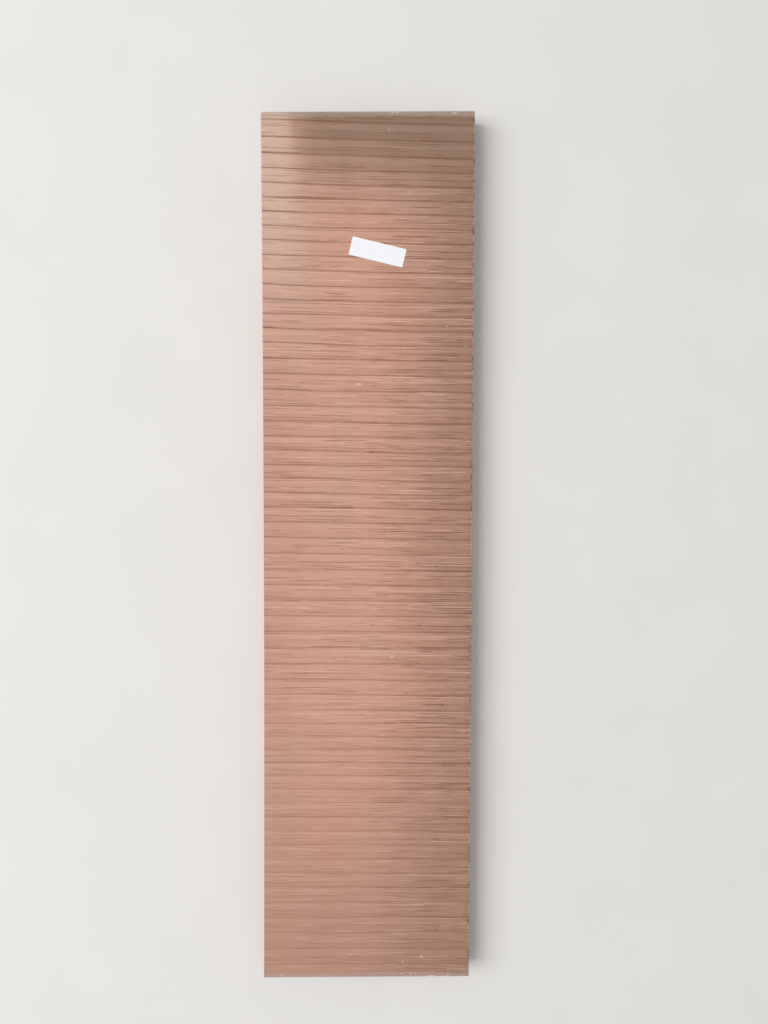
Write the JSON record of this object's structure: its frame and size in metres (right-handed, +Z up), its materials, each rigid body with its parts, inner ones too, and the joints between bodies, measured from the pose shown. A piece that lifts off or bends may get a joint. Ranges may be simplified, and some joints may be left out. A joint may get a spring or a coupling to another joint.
{
  "type": "hardwood board",
  "caption": "Wide rough-sawn hardwood board lying flat, with skew-cut ends, one slightly hollow long edge and a blank paper label on its upper face.",
  "frame": {"origin": "middle of the underside, where the board rests on the floor", "axes": "+X across the width towards the straight edge, +Y along the length towards the labelled end, +Z up through the thickness, out of the labelled face"},
  "size_m": [0.391, 1.623, 0.0512],
  "materials": {
    "sawn_hardwood": "rough sawn, matt",
    "label_paper": "matt white paper"
  },
  "bodies": {
    "root": {"board": "sawn_hardwood", "paper_label": "label_paper"}
  },
  "joints": []
}
